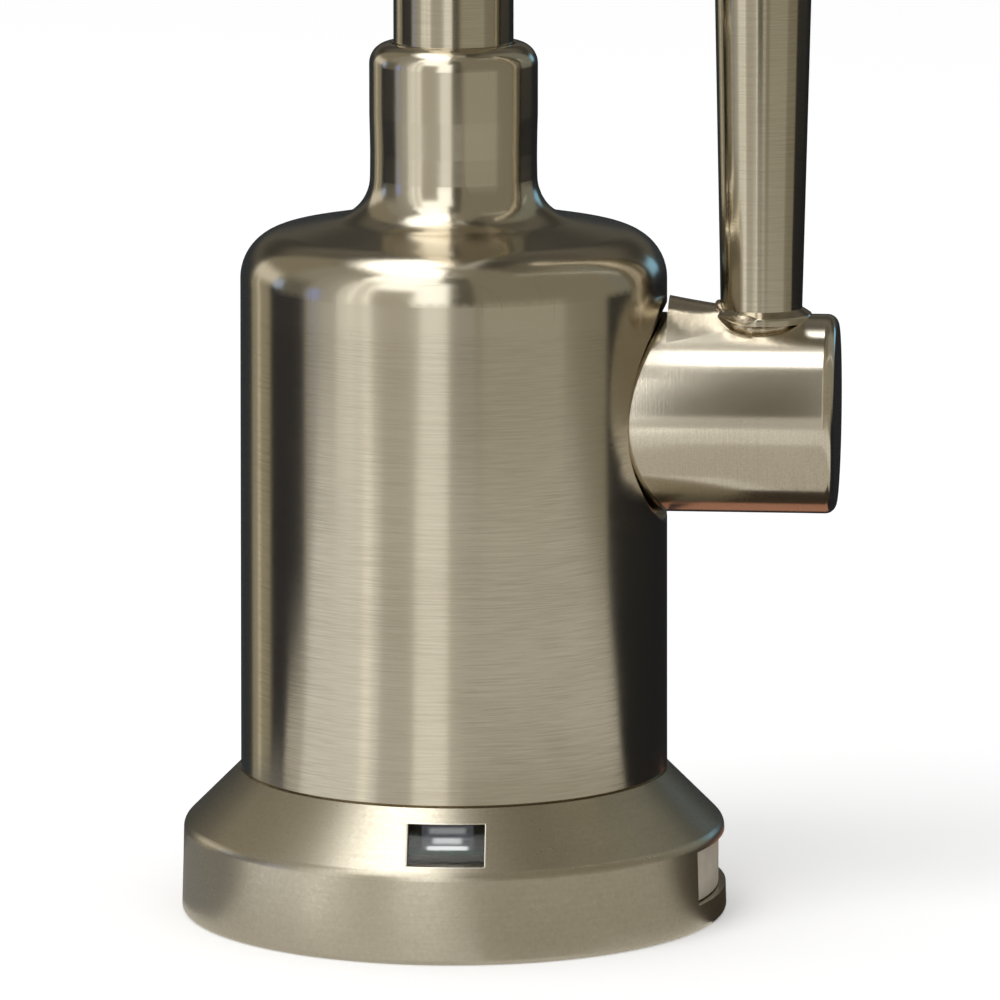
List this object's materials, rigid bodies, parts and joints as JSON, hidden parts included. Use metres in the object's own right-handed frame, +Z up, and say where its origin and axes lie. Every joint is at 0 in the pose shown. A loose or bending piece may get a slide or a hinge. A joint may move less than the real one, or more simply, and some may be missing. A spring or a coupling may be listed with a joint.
{
  "type": "air gap faucet",
  "caption": "Deck-mounted drinking water faucet: round base with air gap vent, indicator window and battery drawer, bell body, side lever and swivelling gooseneck spout.",
  "frame": {"origin": "centre of the underside of the base, on the deck", "axes": "+Z up out of the deck, +X along the lever hub, -Y to the front, where the spout points at rest"},
  "size_m": [0.07, 0.1555, 0.3533],
  "materials": {
    "brushed_nickel": "fine brushing round the body, warm nickel",
    "satin_nickel": "satin nickel, blurred reflections",
    "hub_nickel": "brushed nickel with a fine speckle",
    "bright_nickel": "nickel brushed round the tube, bright",
    "brass": "turned brass",
    "plated_steel": "zinc plated steel",
    "spring_steel": "bright spring strip",
    "dark_steel": "blackened steel",
    "cell_steel": "bright pressed steel",
    "clear_lens": "clear moulded plastic",
    "pale_plastic": "pale moulded plastic",
    "beige_plastic": "beige grey moulded plastic",
    "black_plastic": "black moulded plastic",
    "grey_plastic": "grey moulded plastic",
    "green_board": "green lacquered board",
    "ceramic": "lapped ceramic",
    "black_rubber": "soft black rubber"
  },
  "bodies": {
    "faucet": {"base_ring": "satin_nickel", "base_plate": "black_plastic", "base_screws": "plated_steel", "base_gasket": "black_rubber", "indicator_lens": "clear_lens", "indicator_light": "pale_plastic", "circuit_board": "green_board", "battery_contact": "spring_steel", "body_shell": "brushed_nickel", "valve_core": "brass", "air_gap_insert": "grey_plastic", "drain_inlet_tube": "grey_plastic", "drain_outlet_tube": "grey_plastic", "threaded_shank": "brass", "shank_ring": "black_rubber", "rubber_washer": "black_rubber", "steel_washer": "plated_steel", "lock_washer": "plated_steel", "mounting_nut": "plated_steel", "valve_seal": "black_rubber", "fixed_disc": "ceramic", "cartridge_body": "brass", "bonnet_nut": "brass", "keeper_screw": "dark_steel", "neck_bush": "black_plastic"},
    "lever": {"lever_hub": "hub_nickel", "lever_rod": "bright_nickel", "set_screw": "dark_steel", "valve_stem": "brass", "stem_ring": "black_rubber", "moving_disc": "ceramic"},
    "spout": {"spout_tube": "bright_nickel", "spout_foot": "brass", "spout_rings": "black_rubber", "spout_clip": "spring_steel"},
    "drawer": {"battery_drawer": "beige_plastic", "coin_cell": "cell_steel"}
  },
  "joints": [
    {"name": "lever_turn", "type": "hinge", "parent": "faucet", "child": "lever", "pos_m": [0, 0, 0.05395], "axis": [1, 0, 0], "range_deg": [0, 90]},
    {"name": "spout_swivel", "type": "hinge", "parent": "faucet", "child": "spout", "pos_m": [0, 0, 0], "axis": [0, 0, 1], "continuous": true},
    {"name": "drawer_slide", "type": "slide", "parent": "faucet", "child": "drawer", "axis": [0.9982, 0.0593, 0], "range_m": [0, 0.022]}
  ]
}
